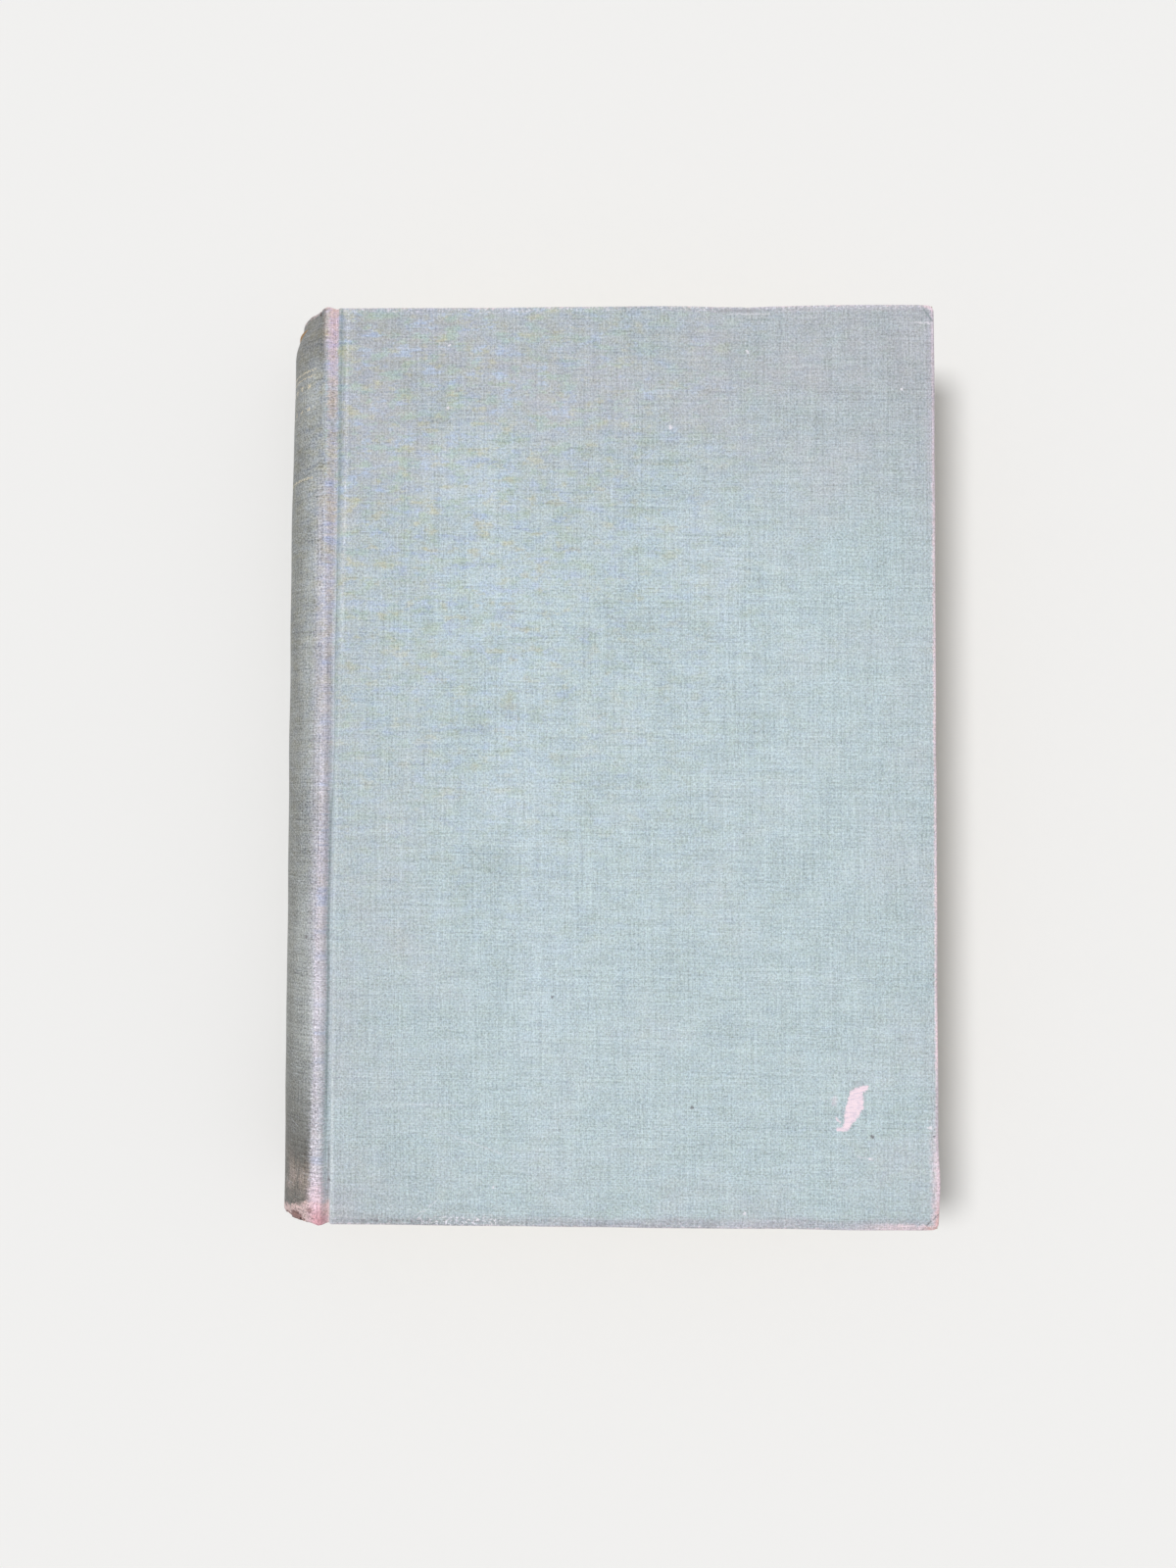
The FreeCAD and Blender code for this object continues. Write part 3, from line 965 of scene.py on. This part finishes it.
        # a painted highlight along the board's edge, with loose threads on it
        highlightLine = onLine.near(ridge + 5.0, 0.35, 0.4)
        self.lay("paleAndHighlight", highlightLine * fray.rise(1.2, -0.9) * 0.38)
        self.lay("threads", highlightLine * hatch.rise(0.52, 0.64) * y.rise(10, 60) * 0.6)

    def wearEdges(self):
        # Soiled bands inside the edges, the tail's band also painted shade, loose threads, and the dye
        # rubbed off the arrises
        x, y, jag, picks, onBoard = self.x, self.y, self.jag, self.picks, self.onBoard
        fromTail, fromHead, fromFore = self.fromTail, self.fromHead, book["fore"] - self.x
        patchy = (self.spread - 0.5) * 2.0
        # dirt and painted shade in a band inside the tail edge
        band = (fromTail + jag + patchy).rise(2.9, 0.4) * onBoard
        band = band * fromTail.rise(-4.5, -3.6) * x.rise(84, 70)
        self.lay("greyDirtAndShade", band * (0.26 + picks.rise(0.42, 0.62) * 0.34))
        soiled = fromTail.near(0.6, 0.3, 0.4) * picks.rise(0.40, 0.58)
        self.lay("soil", x.near(-50, 9, 6) * onBoard * soiled * 0.4)
        headBand = (fromHead + jag + patchy).rise(1.7, 0.3)
        self.lay("lilac", headBand * onBoard * x.rise(-20, 60) * 0.45)
        tufts = self.grain(self.flat, (1.2, 1.7, 0), 3, 0.7, (81, 7, 0))
        atTail = (fromTail + patchy * 1.4).rise(2.6, 1.0) * onBoard
        self.lay("lilac", atTail * x.rise(-30, 0) * 0.3)
        self.lay("threads", atTail * tufts.rise(0.53, 0.60) * (0.2 + x.near(-34, 10, 4) * 0.6))
        atHead = (fromHead + patchy).rise(1.1, 0.2) * onBoard
        self.lay("threads", atHead * tufts.rise(0.52, 0.60) * 0.6)
        self.lay("bare", (fromFore + jag * 0.5).rise(1.1, 0.5) * onBoard * 0.7)
        haze = (fromFore + jag).rise(3.0, 0.2) * (y.rise(40, 90) | y.rise(-70, -96))
        self.lay("lilac", haze * onBoard * 0.6)
        foreRun = self.ridge + book["fore"] - book["ridgeSide"] + 0.9
        tail = self.rubbed(fromTail, 0.42, patchy * 0.5) * 0.5
        head = self.rubbed(fromHead, 0.35, patchy * 0.5) * 0.7
        fore = self.rubbed(foreRun - self.across, 0.5, y.rise(10, -90) * 0.4) * 0.8
        bare = self.mix(self.spread.rise(0.4, 0.6), "bare", "ridge")
        self.lay(bare, (tail | head | fore) * onBoard)

    def rubbed(self, distance, wide, extra):
        # 1 on the two arrises of a board's edge, ragged, wider where extra is more
        upper = abs(distance + 0.4) + self.jag
        lower = abs(distance + 3.45) + self.jag
        both = self.math("MINIMUM", upper, lower + 0.15)
        return (both - extra).rise(wide, wide - 0.5)

    def wearCorners(self):
        # Rubbed bare along both edges at the tail, and across the corner at the head
        y, fromFore, fromTail = self.y, book["fore"] - self.x, self.y + book["head"]
        atFore, atTail = fromFore + self.jag, fromTail + self.jag
        pink = atFore.rise(2.6, 0.8) * y.rise(-84, -103) | atTail.rise(2.0, 1.0) * fromFore.rise(24, 8)
        self.lay("bare", pink * 0.65)
        corner = atFore.rise(1.3, 0.6) * y.rise(-104, -111) | atTail.rise(1.5, 0.9) * fromFore.rise(5, 1)
        self.lay("salmon", corner * 0.5)
        self.lay("soil", (fromFore + fromTail).near(4.3, 0.1, 0.3) * self.picks.rise(0.42, 0.55) * 0.6)
        atHead = fromFore * 0.8 + (book["head"] - y) * 1.5 + self.jag
        self.lay("bare", atHead.rise(3.4, 2.4) * 0.75)

    def wearCaps(self):
        # The spine's ends: rubbed to pale threads at the rim, rose below the ridges
        across, y, ridge, picks = self.across, self.y, self.ridge, self.picks
        blots = self.grain(self.rest, (0.35, 0.35, 0.35), 4, 0.7, (6, 6, 1)) - 0.5
        overSpine = across.rise(ridge + 3.6, ridge + 2.4) * self.outside
        tail = self.fromTail + self.jag + blots * 7.0
        head = self.fromHead + self.jag + blots * 3.0
        worn = self.fromTail + self.jag * 0.6 + blots * 4.5
        smudge = y.near(-106, 3.0, 3.5) * picks.rise(0.40, 0.60) * overSpine
        self.lay("rim", smudge * blots.rise(0.0, 0.12) * across.near(12.5, 4.5, 3.0) * 0.4)
        rimTint = self.mix(picks.rise(0.54, 0.68) * 0.6, "rim", "rimDark")
        self.lay(rimTint, (worn - across.rise(8, ridge) * 3.0).rise(2.3, 1.1) * overSpine * 0.86)
        pink = across.near(ridge - 0.4, 2.0, 1.9) * tail.rise(12.0, 3.0)
        self.lay("ridgePink", pink * overSpine * 0.7)
        rosy = across.near(ridge + 0.2, 1.9, 1.7) * tail.rise(5.2, 0.2)
        self.lay("rose", rosy * overSpine * 0.8)
        torn = across.near(14.8, 2.6, 0.8) * worn.rise(1.5, 0.8)
        pit = across.near(19.6, 0.9, 0.4) * worn.near(2.0, 0.5, 0.4)
        self.lay("inside", (torn | pit * 0.7) * overSpine * 0.85)
        self.lay("rim", head.rise(0.5, -0.6) * overSpine * 0.55)
        headPink = across.near(ridge + 1.4, 1.5, 1.5) * head.rise(16.0, 2.0)
        self.lay("ridgePink", headPink * overSpine * 0.55)

    def weaveThreads(self):
        # Single yarns lighter and darker, flecks, fine chroma and the weave's own relief
        wander = self.grain(self.flat, (0.22, 0.22, 0), 1, colour=True)
        loose = self.vector("MULTIPLY_ADD", wander, (0.5, 0.5, 0), self.flat)
        weft = self.yarns(loose, 20, 0.48)
        warp = self.yarns(loose, 22, 0.48, shift=(9, 4, 0), upright=True)
        slubs = self.yarns(loose, 9, 0.44, shift=(40, 12, 0))
        fleck = self.grain(self.flat, (1.9, 1.9, 0), 3, 0.75, (5, 5, 2))
        blots = self.grain(self.flat, (0.20, 0.28, 0), 3, 0.65, (55, 5, 2))
        warpSide, weftSide, _ = self.split(loose)
        pitch = clothMarks["pitch"]
        over = (warpSide.wave(pitch * 2) * weftSide.wave(pitch * 2)).rise(-0.3, 0.3)
        weave = warpSide.wave(pitch) * over + weftSide.wave(pitch) * (1 - over)
        uneven = weave * 0.06
        for part, share in ((weft, 0.46), (warp, 0.45), (fleck, 1.40), (self.mottle, 0.30), (blots, 0.24)):
            uneven = uneven + (part - 0.5) * share
        shade = 1 + uneven * (1 + self.onSpine * 0.8)
        nearJoint = self.across.near(self.ridge + 1.5, 4.0, 3.0) * self.y.rise(-10, 50)
        warmth = self.grain(self.flat, (0.20, 0.38, 0), 3, 0.7, (33, 9, 0)) - 0.5
        warmth = warmth * (0.4 + self.upper + nearJoint)
        shades = self.join(*(shade + warmth * share for share in (0.12, 0.03, -0.26)))
        fine = self.grain(self.flat, (1.3, 2.0, 0), 2, 0.8, (15, 3, 4), colour=True)
        fine = self.vector("SUBTRACT", fine, (0.5, 0.5, 0.5))
        shades = self.vector("MULTIPLY_ADD", fine, (0.12, 0.09, 0.16), shades)
        self.tint = self.mix(1.0, self.tint, shades, "MULTIPLY")
        self.lay("paleAndHighlight", slubs.rise(0.69, 0.75) * 0.5)
        self.lay("soil", fleck.rise(0.30, 0.24) * 0.4)
        self.lay("threads", fleck.rise(0.71, 0.77) * 0.45)
        self.relief = weave * 0.5 + weft * 1.3 + warp

    def gild(self):
        # Remains of gilding: worn rules and dots across the spine, then a few scrapes
        across, y = self.across, self.y
        dotted = self.math("PINGPONG", across, 1.6).rise(0.8, 0.6)
        gilded = y.near(clothMarks["rules"][0], 0.25, 0.15)
        for place in clothMarks["rules"][1:]:
            gilded = gilded | y.near(place, 0.25, 0.15)
        for place, half in clothMarks["dots"]:
            gilded = gilded | dotted * y.near(place, half, 0.25)
        left = self.grain(self.flat, (1.7, 1.7, 0), 3, 0.7, (8, 70, 0)).rise(0.47, 0.56)
        self.lay("gilt", gilded * across.near(11.0, 7.5, 0.5) * left * 0.85)
        slanted = self.vector("ADD", self.flat, self.join(0, across * 0.45, 0))
        scrapes = self.grain(slanted, (0.12, 2.4, 0), shift=(3, 90, 0))
        self.lay("greyed", scrapes.rise(0.69, 0.75) * across.rise(self.ridge - 1, self.ridge - 4) * 0.4)

    def markFront(self):
        # The scar, the specks and the scratches of the front cover, with painted shade along a corner
        # crease and in the dent of the head edge
        ragged = self.grain(self.rest, (1.2, 1.2, 0), 4, 0.75, (4, 4, 0), colour=True)
        ragged = self.vector("SUBTRACT", ragged, (0.5, 0.5, 0.5))
        place = self.vector("MULTIPLY_ADD", ragged, (1.5, 1.5, 0), self.join(self.x, self.y, 0))
        self.lay("greyDirtAndShade", self.stroke(place, *clothMarks["scarBruise"], 0.6) * 0.2)
        cuts = self.stroke(place, *clothMarks["scarFaint"], 0.5) * 0.35
        for cut in clothMarks["scar"]:
            cuts = cuts | self.stroke(place, *cut, 0.25)
        fibres = self.grain(self.flat, (0.6, 2.6, 0), 3, 0.75, (62, 14, 0))
        self.lay(self.mix(fibres.rise(0.54, 0.40), "scar", "scarDull"), cuts)
        for colour, share, key in (("soil", 0.8, "darkSpecks"), ("threads", 1.0, "paleSpecks")):
            for spot, size in clothMarks[key]:
                away = self.vector("DISTANCE", place, (*onCover(spot), 0))
                self.lay(colour, away.rise(size * 0.75 + 0.25, size * 0.4) * share)
        for colour, key in (("darkMarkAndShade", "darkScratches"), ("threads", "paleScratches")):
            for start, end, wide in clothMarks[key]:
                self.lay(colour, self.stroke(place, start, end, wide, wide, 0.15) * 0.5)
        # painted shade along a crease across the top corner
        self.lay("darkMarkAndShade", self.stroke(place, *clothMarks["cornerCrease"], 0.2) * 0.7)
        # painted shade in the knocked dent of the head edge
        dent = self.x.near(dents["headAt"], 6.0, 3.0) * self.fromHead.near(0.5, 0.5, 0.5)
        self.lay("greyDirtAndShade", dent * 0.45)

    def markBack(self):
        # Rubbing and a few stains on the back cover
        scuffs = self.grain(self.rest, (0.25, 0.9, 0.25), 4, 0.7, (60, 2, 8))
        self.lay("paleAndHighlight", scuffs.rise(0.62, 0.70) * 0.35)
        stains = self.grain(self.rest, (0.035, 0.035, 0.035), 3, shift=(9, 42, 6))
        self.lay("greyDirtAndShade", stains.near(0.60, 0.012, 0.012) * 0.3)


def clothFinish(name, side):
    finish = ClothFinish(name, side)
    finish.fade()
    finish.greySpine()
    finish.wearJoint()
    finish.wearEdges()
    finish.wearCorners()
    finish.wearCaps()
    finish.weaveThreads()
    finish.gild()
    if side > 0:
        finish.markFront()
    else:
        finish.markBack()
    return finish.made(finish.tint, finish.relief, 0.05, 0.55)


def paperFinish(name, colour, edgeColour, foxing=0.0, ownPlace=None, leafShade=False):
    # Old paper: yellowed, browner at the edges, with fibres and spots of foxing
    finish = Finish(name, 0.85, specular=0.15)
    place = finish.attribute(ownPlace) if ownPlace else finish.objectPlace()
    x, y, _ = finish.split(place)
    cloudy = finish.grain(place, (0.04, 0.04, 0.04), 4, 0.6)
    fibres = finish.grain(place, (0.5, 3.0, 3.0), 3, 0.6)
    aged = tuple(0.75 * one + 0.25 * two for one, two in zip(colour, edgeColour))
    tint = finish.mix(cloudy.rise(0.3, 0.75), colour, aged)
    atEdge = abs(y).rise(blockHigh[1] - 16, blockHigh[1]) | x.rise(blockHigh[0] - 16, blockHigh[0])
    tint = finish.mix(atEdge * (0.25 + cloudy * 0.7), tint, edgeColour)
    if foxing:
        damp = finish.grain(place, (0.03, 0.03, 0.02), 2, shift=(14, 8, 2))
        for size, shift in ((0.30, 70), (0.9, 25)):
            spots = finish.grain(place, (size, size, 0.02), 3, 0.6, (shift, 3, 9))
            tint = finish.mix((spots + damp * 0.35).rise(0.84, 0.95) * foxing, tint, "foxed")
    if leafShade:
        # each leaf's tone, with painted shade where the sections part
        tint = finish.mix(1.0, tint, finish.attribute("shade"), "MULTIPLY")
    soft = 1 + (fibres - 0.5) * 0.08
    tint = finish.mix(1.0, tint, finish.join(soft, soft, soft), "MULTIPLY")
    relief = fibres
    if not leafShade:
        relief = fibres * 0.4 + finish.grain(place, (0.09, 0.13, 0.09), 2, shift=(5, 9, 1))
    return finish.made(tint, relief, 0.10, 0.5)


def wovenFinish(name, colour, pitch, openShare, depth):
    # Open cotton mull: crossing threads with glue between them
    finish = Finish(name, 0.9, specular=0.1)
    place = finish.objectPlace()
    x, y, z = finish.split(place)
    wander = finish.grain(place, (0.3, 0.3, 0.3), 1)
    crossing = (x - z + wander).wave(pitch) | (y + wander).wave(pitch)
    threads = crossing.rise(openShare - 0.3, openShare + 0.3)
    stain = finish.grain(place, (0.08, 0.08, 0.08), 4)
    glue = finish.mix(stain, *(tuple(value * share for value in colour) for share in (0.62, 0.8)))
    return finish.made(finish.mix(threads, glue, colour), threads, depth, 0.8)


def boardFinish(name):
    # Grey-brown pulp board with flecks
    finish = Finish(name, 0.9, specular=0.1)
    place = finish.objectPlace()
    pulp = finish.grain(place, (1.2, 1.2, 2.5), 5, 0.7)
    flecks = finish.grain(place, (2.5, 2.5, 2.5), 2, shift=(4, 8, 1))
    tint = finish.mix(pulp, "pulpDark", "pulpLight")
    tint = finish.mix(flecks.rise(0.64, 0.72) * 0.6, tint, "pulpFleck")
    return finish.made(tint, pulp, 0.2, 0.7)


def bandFinish(name):
    # Thread wound in faded rose and cream over a core
    finish = Finish(name, 0.7, specular=0.2, sheen=0.1)
    flat = finish.attribute("flat")
    run, turn, _ = finish.split(flat)
    slant = run + turn * 0.12
    stripe = finish.math("SINE", slant * (2 * math.pi / 3.2)).rise(-0.15, 0.15)
    dirty = finish.grain(flat, (0.6, 0.6, 0.6), 3)
    tint = finish.mix(stripe, "bandCream", "bandRose")
    tint = finish.mix(dirty * 0.45, tint, "bandDirt")
    return finish.made(tint, slant.wave(0.32), 0.06, 0.8)


# Floor and light
stageSet = {
    "reach": 12.0,
    "floor": (0.86, 0.855, 0.845),
    "backdrop": 0.88,
    "world": 0.46,
    "key": 1.95,
    "keyTurn": (0.0, -25.0, -24.0),
    "keySoft": 16.0,
}


def addStage():
    mesh = bpy.data.meshes.new("floor")
    reach = stageSet["reach"]
    corners = [(-reach, -reach, 0), (reach, -reach, 0), (reach, reach, 0), (-reach, reach, 0)]
    mesh.from_pydata(corners, [], [(0, 1, 2, 3)])
    finish = Finish("floor", 0.9, specular=0.05)
    finish.feed(stageSet["floor"], finish.shader.inputs["Base Color"])
    mesh.materials.append(finish.owner)
    floor = placed("floor", mesh)
    world = bpy.data.worlds.new("world")
    world.use_nodes = True
    sky = Tree(world)
    background = sky.nodes["Background"]
    background.inputs["Color"].default_value = (1, 1, 1, 1)
    rays = sky.node("ShaderNodeLightPath").outputs
    seen = Value(sky, rays["Is Camera Ray"])
    for kind in ("Is Glossy Ray", "Is Transmission Ray"):
        seen = seen | Value(sky, rays[kind])
    strength = seen * (stageSet["backdrop"] - stageSet["world"]) + stageSet["world"]
    sky.feed(strength, background.inputs["Strength"])
    bpy.context.scene.world = world
    key = bpy.data.lights.new("key", "SUN")
    key.energy = stageSet["key"]
    key.angle = math.radians(stageSet["keySoft"])
    lamp = placed("key", key)
    lamp.rotation_euler = [math.radians(angle) for angle in stageSet["keyTurn"]]
    bpy.context.scene.view_settings.view_transform = "Standard"


def dress(node, material):
    # Gives a carried-over part its finish
    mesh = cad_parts[node].data
    mesh.materials.clear()
    mesh.materials.append(material)


addCamera()
addStage()
print("camera, floor and light are set")

frontFinish = clothFinish("book_cloth_front", 1)
backFinish = clothFinish("book_cloth_back", -1)
addCloth("cloth_front", 1, ("front_cloth", "front_joint_cloth", "spine_cloth"), frontFinish)
addCloth("cloth_back", -1, ("back_cloth", "back_joint_cloth"), backFinish)
print("the covering cloth is on")

millboard = boardFinish("millboard")
addBoard("board_front", 1, "front_cover", "front_board", millboard)
addBoard("board_back", -1, "back_cover", "back_board", millboard)
print("the boards are cut")

leafPaper = paperFinish("leaf_paper", linear(244, 238, 222), linear(236, 224, 200), leafShade=True)
addLeaves(leafPaper)
print("the leaves are gathered")

endPaper = paperFinish("end_paper", linear(228, 218, 196), linear(196, 172, 136), foxing=0.6)
foldPaper = paperFinish("fold_paper", linear(224, 212, 188), linear(196, 172, 136), ownPlace="rest")
addEndpaperFold("endpaper_fold_front", 1, foldPaper)
addEndpaperFold("endpaper_fold_back", -1, foldPaper)
for node in ("front_flyleaf", "back_flyleaf", "front_pastedown", "back_pastedown"):
    dress(node, endPaper)
print("the endpapers are down")

bandCloth = bandFinish("band_thread")
addBand("headband_roll", 1, "headband", bandCloth)
addBand("tailband_roll", -1, "tailband", bandCloth)
mull = wovenFinish("mull", linear(222, 212, 190), 1.1, 0.35, 0.12)
for node in ("spine_mull", "front_mull_flange", "back_mull_flange"):
    dress(node, mull)
brownPaper = paperFinish("brown_paper", linear(176, 146, 108), linear(140, 110, 78))
dress("spine_lining", brownPaper)
addStrip(paperFinish("strip_paper", linear(126, 98, 88), linear(100, 74, 68)))
print("bands, mull and linings are in")
